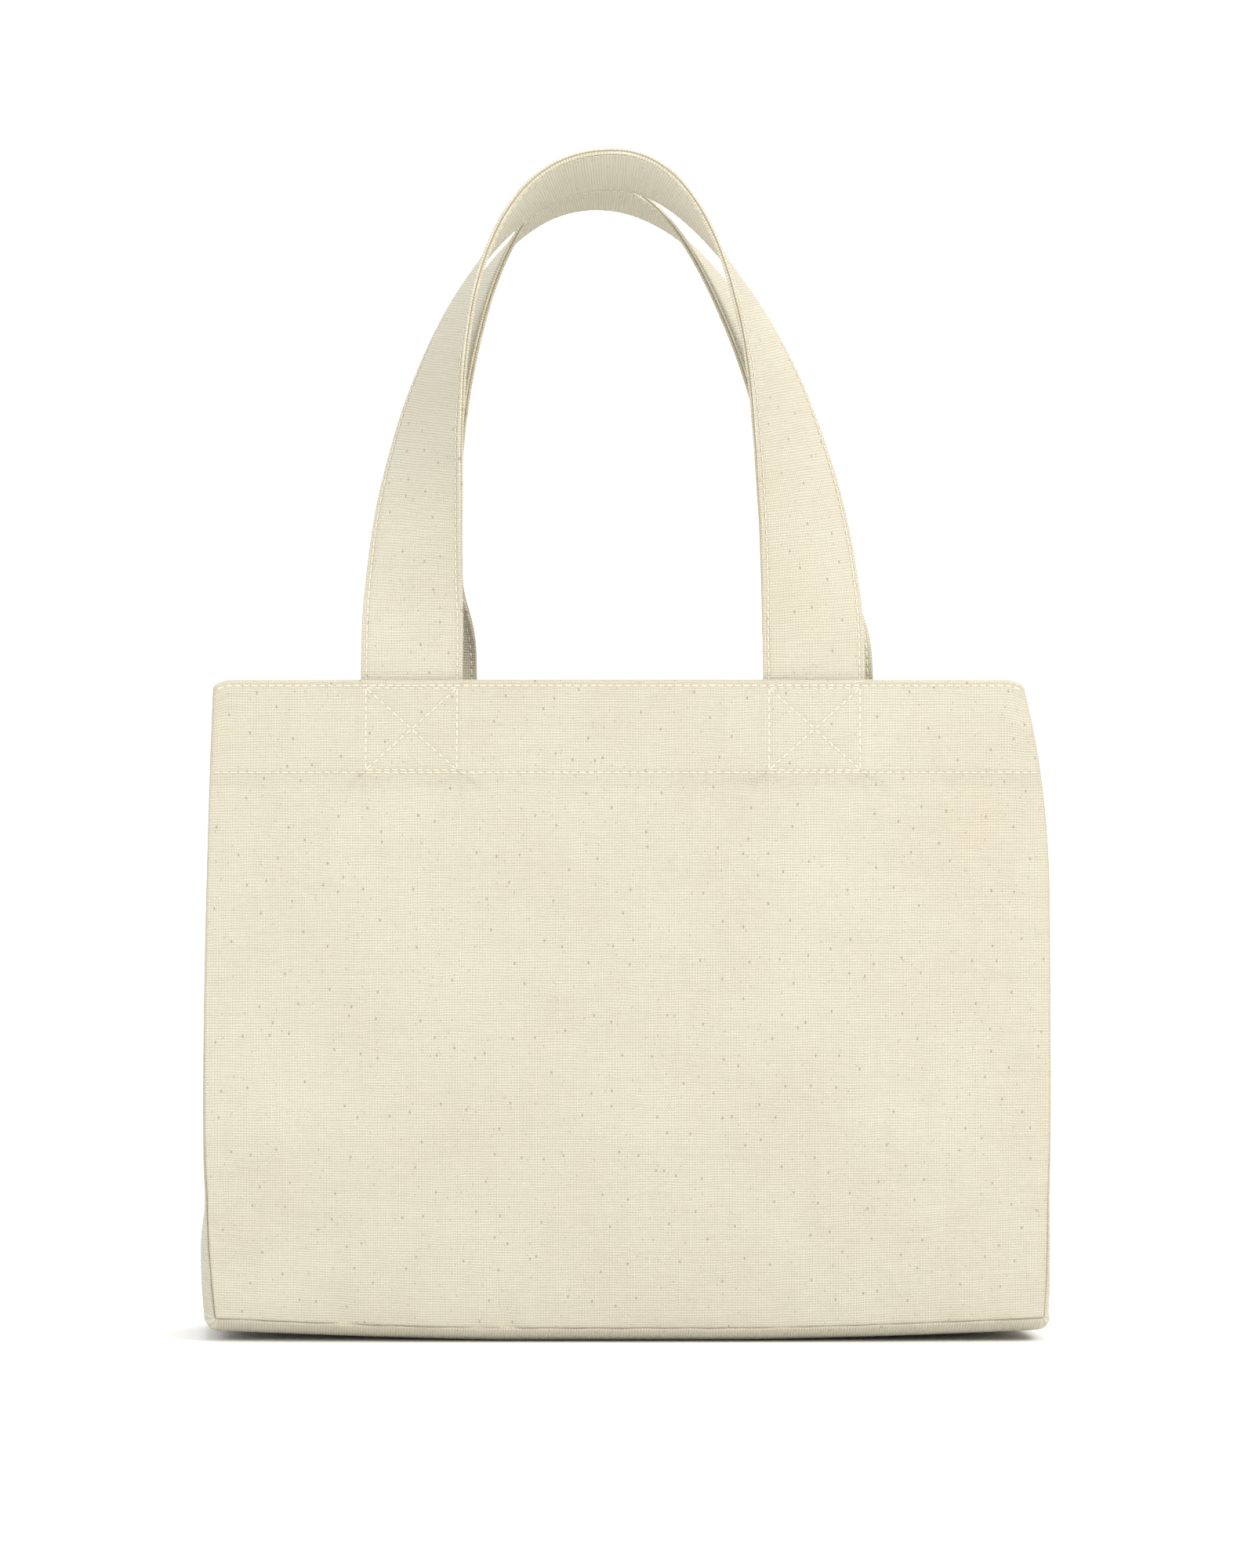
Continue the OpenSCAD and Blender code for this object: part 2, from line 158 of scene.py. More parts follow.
def edge(face, side, z):
    """Where a panel's side seam stands, from the middle of the bag."""
    pull = low_pull[side] * below(z) + top_lean[side] * above(z, lean_start[side])
    if side == LEFT:
        return -left_reach + pull + (back_inset - shift_back(z) if face == BACK else 0)
    return right_reach - pull - (back_inset + shift_back(z) if face == BACK else 0)


def half_depth(z):
    return base_half_depth - mouth_draw_in * clamp01(z / mouth) ** draw_in_power


def panel_y(face, x, z):
    left, right = edge(face, LEFT, z), edge(face, RIGHT, z)
    across = clamp01((x - left) / (right - left))
    bow = mix(bow_low, bow_high, clamp01(z / mouth))
    return face * (half_depth(z) + bow * (1 - (2 * across - 1) ** 2))


def crease(z):
    """How far the middle of a side gusset is folded in."""
    folded = math.sqrt(max(0, half_gusset**2 - half_depth(z) ** 2))
    return folded * ease((z - crease_start) / crease_reach)


def cloth(z):
    return mix(cloth_thickness, hem_thickness, ease((z - hem_start) / (1.2 * MM) + 0.5))


def bottom_z(x):
    past = max(0.0, abs(x) - flat_reach) / (left_reach - flat_reach)
    return seam_lift + end_lift * past**end_lift_power


def mouth_dip(face, x):
    nearest = min(x - edge(face, LEFT, mouth), edge(face, RIGHT, mouth) - x)
    return corner_dip * clamp01(1 - nearest / dip_reach) ** 2


def edge_lift(face, x, z):
    """How far the real edges make a place higher than its height on a straight-edged panel."""
    dip = mouth_dip(face, x) * clamp01((z - hem_start) / hem_depth)
    return bottom_z(x) * clamp01(1 - z / widest_height) - dip


def side_bulge(z, w):
    return side_bulge_out * (1 - ease(z / bulge_end)) * (1 - w**4)


def floor_drop(w):
    return seam_lift * (1 - (max(0.0, w - flat_share) / (1 - flat_share)) ** drop_power)


def tent(v, softness=0.09):
    """1 on the middle line of the strip and 0 at its edges, with a slightly soft fold."""
    full = math.sqrt(1 + softness**2)
    return (full - math.sqrt((2 * v - 1) ** 2 + softness**2)) / (full - softness)


# %% [markdown]
# ## How two cloths meet in a seam
# At a real seam both cloths turn inwards round a small radius and touch along a groove. A section of each
# edge is an arc. Its start and its turn follow from the angle between the two cloths, which is square at
# the base and narrow at the mouth, where the gusset folds in.

# %% Seam section
def seam_radius(z):
    return mix(0.9 * MM, 1.5 * MM, ease((z - hem_start) / (6 * MM)))


def seam_section(angle, radius):
    """Where the arc starts, how far the seam line moves outwards and how far the arc turns."""
    start = radius / math.tan(angle / 4)
    narrow = clamp01((math.pi / 2 - angle) / math.radians(45))
    shift = max(0.0, start - 2.414 * radius + 1.414 * radius * narrow)
    return start, shift, math.pi - angle / 2


def side_seam(z):
    slope_out = 8 * side_bulge_out * (1 - ease(z / bulge_end)) - 2.0 * crease(z) / 0.92
    angle = math.pi / 2 + math.atan2(slope_out, 2 * half_depth(z))
    return (*seam_section(angle, seam_radius(z)), seam_radius(z))


def bottom_seam():
    angle = math.pi / 2 + math.atan2(2 * seam_lift * drop_power / (1 - flat_share), 2 * half_depth(0))
    return (*seam_section(angle, seam_radius(0)), seam_radius(0))


def arc_point(share, depth, start, turn, radius):
    """Along and inwards from the seam line, at a share of the turn and a depth into the cloth."""
    inner = max(radius - depth, 0.04 * MM)
    return start - inner * math.sin(share * turn), radius - inner * math.cos(share * turn)


print("bottom seam section", [round(n, 5) for n in bottom_seam()])


# %% [markdown]
# ## Turning rings of points into a piece
# Every cloth piece is a loft: rings of points that go along its outside and back along its inside. The mesh
# also carries a UV map measured in metres of cloth, which the weave follows, and a "shade" attribute that
# darkens the cloth: painted shade in grooves, seam turns, creases, the strap's slot and inside the bag, and
# a plain darkening along the bottom and towards the cut edge of a seam allowance.

# %% Loft
def loft(name, rings, material):
    """rings holds rows of (point, (u, v), shade). Each ring is an outer row, then an inner row reversed."""
    size = len(rings[0])
    points = [p for ring in rings for p in ring]
    faces = []
    for i in range(len(rings) - 1):
        for k in range(size):
            a, b = i * size + k, i * size + (k + 1) % size
            faces.append((a, b, b + size, a + size))
    for first in (0, (len(rings) - 1) * size):
        for k in range(size // 2 - 1):
            faces.append((first + k, first + k + 1, first + size - 2 - k, first + size - 1 - k))
    return finish_mesh(name, points, faces, material)


def finish_mesh(name, points, faces, material, smooth_angle=50):
    mesh = bpy.data.meshes.new(name)
    mesh.from_pydata([p[0] for p in points], [], faces)
    corners = np.empty(len(mesh.loops), int)
    mesh.loops.foreach_get("vertex_index", corners)
    flat = np.array([p[1] for p in points], float)[corners]
    mesh.uv_layers.new(name="cloth").data.foreach_set("uv", flat.ravel())
    shade = mesh.attributes.new("shade", "FLOAT", "POINT")
    shade.data.foreach_set("value", [p[2] for p in points])
    mesh.materials.append(material)
    piece = bpy.data.objects.new(name, mesh)
    bpy.context.collection.objects.link(piece)
    bpy.ops.object.select_all(action="DESELECT")
    piece.select_set(True)
    bpy.context.view_layer.objects.active = piece
    bpy.ops.object.mode_set(mode="EDIT")
    bpy.ops.mesh.select_all(action="SELECT")
    bpy.ops.mesh.remove_doubles(threshold=0.002 * MM)
    bpy.ops.mesh.normals_make_consistent(inside=False)
    bpy.ops.object.mode_set(mode="OBJECT")
    bpy.ops.object.shade_smooth_by_angle(angle=math.radians(smooth_angle))
    piece.select_set(False)
    print(name, len(mesh.vertices), "points", sum(len(p.vertices) - 2 for p in mesh.polygons), "triangles")
    return piece


# %% [markdown]
# ## Cotton duck
# Duck is a plain weave of thick cotton yarn, here about 46 yarns an inch up the bag and 28 across it. It
# isn't bleached, so it is a warm cream with brown specks of seed husk and darker or lighter slubs where a
# yarn is uneven. It is quite matt. The weave is worked out from the UV map with cosines: their product
# tells which yarn is on top.

# %% Colours and nodes
def linear(hex_colour):
    """An sRGB hex colour as linear RGBA."""
    parts = [int(hex_colour[i : i + 2], 16) / 255 for i in (1, 3, 5)]
    return (*[p / 12.92 if p <= 0.04045 else ((p + 0.055) / 1.055) ** 2.4 for p in parts], 1.0)


def add(tree, kind, inputs=(), **settings):
    """Adds one node with its settings. An input is a value, a socket, or a node (its first output)."""
    node = tree.nodes.new(kind)
    for key, value in settings.items():
        setattr(node, key, value)
    for key, value in dict(inputs).items():
        if isinstance(value, bpy.types.Node):
            value = next(socket for socket in value.outputs if socket.enabled)
        if isinstance(value, bpy.types.NodeSocket):
            tree.links.new(value, node.inputs[key])
        else:
            node.inputs[key].default_value = value
    return node


MATH, MIX, RANGE, NOISE = "ShaderNodeMath", "ShaderNodeMix", "ShaderNodeMapRange", "ShaderNodeTexNoise"
MAPPING, UV_MAP, SPLIT = "ShaderNodeMapping", "ShaderNodeUVMap", "ShaderNodeSeparateXYZ"
SHARE, FIRST, SECOND = 0, 6, 7  # the inputs of a colour mix


# %% Woven cotton duck
def cotton_duck(name, cream, pit, husk):
    """Plain weave of matt cotton yarn: its colour, the colour between the yarns and that of the specks."""
    material = bpy.data.materials.new(name)
    material.use_nodes = True
    tree = material.node_tree
    shader = tree.nodes["Principled BSDF"]
    uv = add(tree, UV_MAP, uv_map="cloth").outputs[0]
    place = add(tree, SPLIT, {0: uv})

    # The yarns wander a little, so the weave isn't a ruled grid.
    wander = add(tree, NOISE, {"Vector": uv, "Scale": 55.0, "Detail": 2.0})
    sway = add(tree, RANGE, {0: wander, 1: 0.0, 2: 1.0, 3: -0.8, 4: 0.8})
    across = add(tree, MATH, {0: place.outputs[0], 1: 1 / warp_pitch, 2: sway}, operation="MULTIPLY_ADD")
    along = add(tree, MATH, {0: place.outputs[1], 1: 1 / weft_pitch, 2: sway}, operation="MULTIPLY_ADD")

    # Thick and thin stretches of the yarns, long one way and one yarn wide the other way.
    weft_scale, warp_scale = (14.0, 1 / weft_pitch, 1.0), (1 / warp_pitch, 14.0, 1.0)
    long_across = add(tree, MAPPING, {"Vector": uv, "Location": (3, 3, 3), "Scale": weft_scale})
    long_along = add(tree, MAPPING, {"Vector": uv, "Location": (8, 8, 8), "Scale": warp_scale})
    weft_slub = add(tree, NOISE, {"Vector": long_across, "Scale": 1.0, "Detail": 3.0})
    warp_slub = add(tree, NOISE, {"Vector": long_along, "Scale": 1.0, "Detail": 3.0})
    weft_slub = add(tree, RANGE, {0: weft_slub, 1: 0.3, 2: 0.75, 3: 0.0, 4: 0.75})
    warp_slub = add(tree, RANGE, {0: warp_slub, 1: 0.35, 2: 0.75, 3: 0.0, 4: 0.4})
    slub = add(tree, MATH, {0: weft_slub, 1: warp_slub}, operation="ADD")

    # Which yarn is on top, and how high the cloth stands there.
    across = add(tree, MATH, {0: across, 1: math.pi}, operation="MULTIPLY")
    along = add(tree, MATH, {0: along, 1: math.pi}, operation="MULTIPLY")
    up = add(tree, MATH, {0: across}, operation="COSINE")
    over = add(tree, MATH, {0: along}, operation="COSINE")
    crossing = add(tree, MATH, {0: up, 1: over}, operation="MULTIPLY")
    on_top = add(tree, RANGE, {0: crossing, 1: -0.75, 2: 0.75})
    below_it = add(tree, MATH, {0: 1.0, 1: on_top}, operation="SUBTRACT")
    warp_round = add(tree, MATH, {0: up, 1: 2.0}, operation="POWER")
    weft_round = add(tree, MATH, {0: over, 1: 2.0}, operation="POWER")
    warp = add(tree, MATH, {0: warp_round, 1: on_top}, operation="MULTIPLY")
    weft = add(tree, MATH, {0: weft_round, 1: below_it}, operation="MULTIPLY")
    weave = add(tree, MATH, {0: warp, 1: weft}, operation="MAXIMUM")
    swell = add(tree, MATH, {0: slub, 1: 0.45}, operation="ADD")
    fuzz = add(tree, NOISE, {"Vector": uv, "Scale": 2600.0, "Detail": 1.0})
    height = add(tree, MATH, {0: weave, 1: swell}, operation="MULTIPLY")
    height = add(tree, MATH, {0: fuzz, 1: 0.25, 2: height}, operation="MULTIPLY_ADD")

    # Cream yarn with darker pits between the yarns, uneven from yarn to yarn and a little over the cloth.
    open_share = add(tree, RANGE, {0: weave, 1: 0.0, 2: 0.55})
    yarns = {SHARE: open_share, FIRST: linear(pit), SECOND: linear(cream)}
    colour = add(tree, MIX, yarns, data_type="RGBA")
    tone = add(tree, RANGE, {0: slub, 1: 0.1, 2: 0.9, 3: 0.90, 4: 1.05})
    tone = add(tree, "ShaderNodeCombineColor", {0: tone, 1: tone, 2: tone})
    multiply = {"data_type": "RGBA", "blend_type": "MULTIPLY"}
    colour = add(tree, MIX, {SHARE: 1.0, FIRST: colour, SECOND: tone}, **multiply)
    cloud = add(tree, NOISE, {"Vector": uv, "Scale": 16.0, "Detail": 3.0})
    cloud = add(tree, RANGE, {0: cloud, 1: 0.3, 2: 0.7})
    tints = {SHARE: cloud, FIRST: linear("#FAF8F4"), SECOND: linear("#FFFFFF")}
    tint = add(tree, MIX, tints, data_type="RGBA")
    colour = add(tree, MIX, {SHARE: 1.0, FIRST: colour, SECOND: tint}, **multiply)

    # Specks of seed husk about a millimetre across: bold ones some 17 mm apart, fainter ones between them.
    slanted, squash = (0, 0, 0.5), (1.0, 0.6, 1.0)
    squashed = add(tree, MAPPING, {"Vector": uv, "Rotation": slanted, "Scale": squash}).outputs[0]
    for scale, size, kept, strength in ((110.0, 0.06, 0.5, 0.6), (240.0, 0.10, 0.25, 0.35)):
        grid = {"Vector": squashed, "Scale": scale}
        cells = add(tree, "ShaderNodeTexVoronoi", grid, voronoi_dimensions="2D")
        spot = add(tree, RANGE, {0: cells, 1: size, 2: size * 0.45, 3: 0.0, 4: strength})
        chance = add(tree, "ShaderNodeSeparateColor", {0: cells.outputs["Color"]})
        chosen = add(tree, MATH, {0: chance, 1: kept}, operation="LESS_THAN")
        share = add(tree, MATH, {0: spot, 1: chosen}, operation="MULTIPLY")
        colour = add(tree, MIX, {SHARE: share, FIRST: colour, SECOND: linear(husk)}, data_type="RGBA")

    # Painted shade in grooves, seam turns, creases and inside the bag, and the darker bottom, as the shape
    # code marked them, in the colour between the yarns.
    marked = add(tree, "ShaderNodeAttribute", attribute_name="shade").outputs["Fac"]
    marked = add(tree, MATH, {0: marked, 1: 1.0}, operation="MULTIPLY", use_clamp=True)
    colour = add(tree, MIX, {SHARE: marked, FIRST: colour, SECOND: linear(pit)}, data_type="RGBA")

    bump = add(tree, "ShaderNodeBump", {"Height": height, "Distance": yarn_relief, "Strength": 1.0})
    tree.links.new(colour.outputs[2], shader.inputs["Base Color"])
    tree.links.new(bump.outputs[0], shader.inputs["Normal"])
    shader.inputs["Roughness"].default_value = 0.92
    shader.inputs["IOR"].default_value = 1.45
    shader.inputs["Specular IOR Level"].default_value = 0.22
    shader.inputs["Sheen Weight"].default_value = 0.12
    shader.inputs["Sheen Roughness"].default_value = 0.6
    return material


# The yarns are drawn about a quarter coarser than the real 0.55 and 0.92 mm, so that they still show from a
# distance.
warp_pitch, weft_pitch, yarn_relief = 0.70 * MM, 1.15 * MM, 0.30 * MM
panel_duck = cotton_duck("unbleached plain weave cotton duck", "#D9D5C5", "#AAA18B", "#85765C")
strap_duck = cotton_duck("cotton duck folded and pressed for straps", "#DAD6C5", "#ABA28B", "#85765C")
edge_duck = cotton_duck("raw edge cotton duck under overlock thread", "#DAD0B6", "#AB9F82", "#85765C")


# %% [markdown]
# ## Sewing thread
# The thread is spun cotton or a poly core, three plies twisted, a shade lighter than the cloth and a little
# shinier. A stitch could be modelled once and copied along each row. Here each is worked out in place as a
# short capsule with its ends pulled into the cloth, because every one follows the ripples under it.

# %% Thread
def spun_thread(name, tone, between):
    """Twisted thread: the colour of its plies and the colour between them."""
    material = bpy.data.materials.new(name)
    material.use_nodes = True
    tree = material.node_tree
    shader = tree.nodes["Principled BSDF"]
    place = add(tree, SPLIT, {0: add(tree, UV_MAP, uv_map="cloth")})
    turns = add(tree, MATH, {0: place.outputs[0], 1: 9.0, 2: place.outputs[1]}, operation="MULTIPLY_ADD")
    turns = add(tree, MATH, {0: turns, 1: math.tau}, operation="MULTIPLY")
    ply = add(tree, MATH, {0: turns}, operation="SINE")
    ply = add(tree, RANGE, {0: ply, 1: -1.0, 2: 1.0})
    colour = add(tree, MIX, {SHARE: ply, FIRST: linear(between), SECOND: linear(tone)}, data_type="RGBA")
    bump = add(tree, "ShaderNodeBump", {"Height": ply, "Distance": 0.05 * MM, "Strength": 0.6})
    tree.links.new(colour.outputs[2], shader.inputs["Base Color"])
    tree.links.new(bump.outputs[0], shader.inputs["Normal"])
    shader.inputs["Roughness"].default_value = 0.7
    shader.inputs["IOR"].default_value = 1.5
    return material


thread_stuff = spun_thread("three ply natural sewing thread", "#E8E2D0", "#CAC3B0")
print("materials", [m.name for m in bpy.data.materials])


# %% Stitches
def stitch_mesh(name, runs, width=0.62 * MM, lift=0.24 * MM):
    """runs holds (start, end, outward normal). Each becomes a capsule whose ends dip into the cloth."""
    points, faces = [], []
    sides, rings = 6, 6
    for start, end, normal in runs:
        along = end - start
        sideways = along.cross(normal).normalized()
        first = len(points)
        for k in range(rings):
            t = k / (rings - 1)
            arch = 1 - (2 * t - 1) ** 4
            centre = start + along * t + normal * (lift * (1.6 * arch - 0.95))
            girth = width / 2 * (0.62 + 0.38 * arch)
            for j in range(sides):
                turn = math.tau * j / sides
                p = centre + sideways * (math.cos(turn) * girth) + normal * (math.sin(turn) * girth * 0.8)
                points.append((p, (t, j / sides), 0.0))
        for k in range(rings - 1):
            for j in range(sides):
                a, b = first + k * sides + j, first + k * sides + (j + 1) % sides
                faces.append((a, b, b + sides, a + sides))
        faces.append(tuple(first + j for j in range(sides)))
        last = first + (rings - 1) * sides
        faces.append(tuple(last + j for j in reversed(range(sides))))
    return finish_mesh(name, points, faces, thread_stuff, 80)


def lockstitches(path, length, pitch=stitch_pitch, stitch=stitch_length):
    """Stitches along a path, which gives a point and a normal at each distance."""
    count = max(1, round(length / pitch))
    runs = []
    for i in range(count):
        middle = (i + 0.5) * length / count
        half = stitch / 2 * (1 + 0.12 * noise.noise(Vector((i * 0.9, length * 31, 0))))
        (start, _), (end, _), (_, normal) = path(middle - half), path(middle + half), path(middle)
        aside = (end - start).cross(normal).normalized() * 0.16 * MM
        start = start + aside * noise.noise(Vector((i * 1.3, length * 17, 4)))
        end = end + aside * noise.noise(Vector((i * 1.3, length * 17, 9)))
        runs.append((start, end, normal))
    return runs


# %% [markdown]
# ## The two panels
# Each panel is one cut of duck, turned over twice at the mouth to a 41 mm hem. The loft goes up the
# outside, round the fold at the mouth and down the inside, where the hem ends in a step. Its outside isn't
# flat: the cloth waves a little, each row of stitching pulls a dimpled line into it, the strap ends push it
# out and pucker it at their lower corners, and the seams draw small ripples.

# %% Where the strap ends are sewn
face_names = {FRONT: "front", BACK: "back"}
legs = {}
for face, face_name in face_names.items():
    for side, side_name in ((LEFT, "left"), (RIGHT, "right")):
        low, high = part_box(f"{face_name}_handle_end_{side_name}")
        legs[face, side] = (low.x + high.x) / 2
row_inset = 2.4 * MM
box_half_width = strap_width / 2 - row_inset
box_middle, box_half_height = (upper_row + lower_row) / 2, 17.6 * MM
print("strap legs at", {k: round(v, 4) for k, v in legs.items()})


# %% Relief of a panel
def box_line_distance(x, z):
    """Distance from the nearest line of a crossed stitch box centred on the origin."""
    w, h = box_half_width, box_half_height
    if abs(x) > w + 3 * MM or abs(z) > h + 3 * MM:
        return 1.0
    size = math.hypot(w, h)
    diagonals = min(abs(x * h - z * w), abs(x * h + z * w)) / size
    sides = min(max(abs(abs(x) - w), abs(z) - h), max(abs(abs(z) - h), abs(x) - w))
    return min(diagonals, sides)


def panel_relief(face, x, z):
    """How far the cloth stands out at a place, and how dark it is there."""
    left, right = edge(face, LEFT, z), edge(face, RIGHT, z)
    inside = min(x - left, right - x)
    seed = 3.7 if face == FRONT else 21.3
    calm = ease(inside / (25 * MM)) * mix(1.0, 0.45, ease((z - hem_start) / (10 * MM)))
    out = calm * 0.9 * MM * noise.noise(Vector((x * 8, z * 6.5, seed)))
    out += calm * 0.30 * MM * noise.noise(Vector((x * 27, z * 17, seed + 4)))
    shade = 0.0

    # Ripples drawn by the side seams and by the bottom seam.
    wander = 5 * noise.noise(Vector((x * 6, z * 20, seed + 9)))
    out += 0.28 * MM * math.sin(math.tau * z / (17 * MM) + wander) * bell(inside - 5 * MM, 6 * MM)
    out += 0.30 * MM * math.sin(math.tau * x / (21 * MM) + wander) * bell(z - 5 * MM, 9 * MM)
    # The cloth is also painted darker along the bottom.
    shade += 0.12 * bell(z, 7 * MM)

    # Stitch rows, the valley under the hem and the hem's own slight step. Painted shade lies in the row
    # grooves and in the valley.
    dimple = 0.75 + 0.25 * math.cos(math.tau * x / stitch_pitch)
    for row in (upper_row, lower_row):
        groove = bell(z - row, 0.9 * MM)
        out -= 0.42 * MM * groove * dimple
        shade += 0.22 * groove
    out += 0.35 * MM * ease((z - hem_start) / (2 * MM))
    unevenness = 0.6 + 0.8 * noise.noise(Vector((x * 30, 0, seed)))
    out -= 0.55 * MM * bell(z - hem_start + 3.5 * MM, 4 * MM) * unevenness
    shade += 0.10 * bell(z - hem_start + 2.5 * MM, 2.5 * MM)

    # Strap ends: a low plateau with the crossed box pressed into it, and puckers off its lower corners.
    for side in (LEFT, RIGHT):
        dx, dz = x - legs[face, side], z - box_middle
        out += 0.75 * MM * ease((25 * MM - abs(dx)) / (5 * MM)) * ease((22 * MM - abs(dz)) / (4 * MM))
        # Painted shade lies along the box's lines and in the puckers' folds.
        line = bell(box_line_distance(dx, dz), 0.85 * MM)
        out -= 0.50 * MM * line
        shade += 0.16 * line
        for corner in (LEFT, RIGHT):
            px, pz = dx - corner * (box_half_width + 1 * MM), z - lower_row
            if abs(px) < 30 * MM and -32 * MM < pz < 6 * MM:
                away = math.hypot(px, pz)
                ray = math.atan2(-pz, corner * px) if away > 0 else 0.0
                for direction, strength in ((0.75, 1.0), (1.5, 0.8), (2.35, 0.55)):
                    fold = bell(ray - direction, 0.24) * ease(away / (3 * MM)) * bell(away - 6 * MM, 8 * MM)
                    out -= 0.95 * MM * strength * fold
                    shade += 0.09 * strength * fold

    # Three soft upright folds low on the left, where the base pushes the cloth.
    if face == FRONT:
        for fold_x, width, height in ((-62, 5, 40), (-48, 4, 30), (-120, 9, 26)):
            fold = bell(x - fold_x * MM + z * 0.25, width * MM)
            out -= 0.8 * MM * fold * (1 - ease(z / (height * MM)))
    return out, min(shade, 1.0)


# %% Loft a panel
arc_shares = [1.0, 0.86, 0.72, 0.58, 0.44, 0.3, 0.15]
mouth_fold = hem_thickness / 2


def panel_rows():
    start, _, turn, radius = bottom_seam()
    heights = steps((hem_start - 8 * MM - start, 2.1 * MM), (hem_start + 4 * MM - start, 0.5 * MM),
                    (mouth - 5 * MM - start, 1.5 * MM), (mouth - mouth_fold - start, 0.5 * MM))
    rows = [("arc", share) for share in arc_shares] + [("flat", start + h) for h in heights]
    return rows + [("fold", math.radians(a)) for a in (18, 36, 54, 70, 82, 90)]


def panel_columns(face):
    width = left_reach + right_reach
    marks = []
    for side in (LEFT, RIGHT):
        middle = legs[face, side] + left_reach
        marks += [(middle - 27 * MM, 2.0 * MM), (middle + 27 * MM, 1.0 * MM)]
    places = steps((6 * MM, 0.8 * MM), *marks, (width - 6 * MM, 2.0 * MM), (width, 0.8 * MM))
    flat = [x / width for x in places]
    left = [(LEFT, share) for share in arc_shares]
    return left + [(0, share) for share in flat] + [(RIGHT, share) for share in reversed(arc_shares)]


def panel_place(face, row, column, outer):
    kind, value = row
    z = {"arc": 0.0, "flat": value, "fold": mouth - mouth_fold + mouth_fold * math.sin(value)}[kind]
    squeeze = mouth_fold * (1 - math.cos(value)) if kind == "fold" else 0.0
    layer = squeeze if outer else cloth(z) - squeeze
    start, shift, turn, radius = side_seam(z)
    left, right = edge(face, LEFT, z) - shift, edge(face, RIGHT, z) + shift
    side, share = column
    if side:
        along, inward = arc_point(share, layer, start, turn, radius)
        x = left + along if side == LEFT else right - along
        reach = start - share * turn * radius
        u = left + reach if side == LEFT else right - reach
        inward -= layer
    else:
        x = u = mix(left + start, right - start, share)
        inward = 0.0
    height, v, under = z, z, 0.0
    if kind == "arc":
        b_start, _, b_turn, b_radius = bottom_seam()
        height, under = arc_point(value, layer, b_start, b_turn, b_radius)
        v, under = b_start - value * b_turn * b_radius, under - layer
    elif kind == "fold":
        v = mouth - mouth_fold + value * mouth_fold
    relief, shade = panel_relief(face, x, z)
    # The inside is painted a little darker, as shade inside the bag.
    if not outer:
        u, v, shade = u + 0.5, 2 * mouth - v, 0.08
    # Painted shade where the cloth turns into the seams.
    shade = max(shade, 0.55 * (share if side else 0.0), 0.55 * (value if kind == "arc" else 0.0))
    inset = layer + math.hypot(inward, under) - relief
    return Vector((x, panel_y(face, x, z) - face * inset, height + edge_lift(face, x, z))), (u, v), shade


def panel_piece(face, name):
    columns = panel_columns(face)
    rings = [[panel_place(face, row, c, True) for c in columns]
             + [panel_place(face, row, c, False) for c in reversed(columns)] for row in panel_rows()]
    return loft(name, rings, panel_duck)


panels = {face: panel_piece(face, f"{label}_panel_cloth") for face, label in face_names.items()}

# %% [markdown]
# ## The gusset
# One strip four inches wide makes both sides and the base. Seen along its length it starts at the left of
# the mouth, goes down, turns the corner, lies on the floor and comes up on the right. In each side it is
# creased inwards, as a bag folded flat in a shop stack is, and the crease dies out low down where the base
# holds it open.

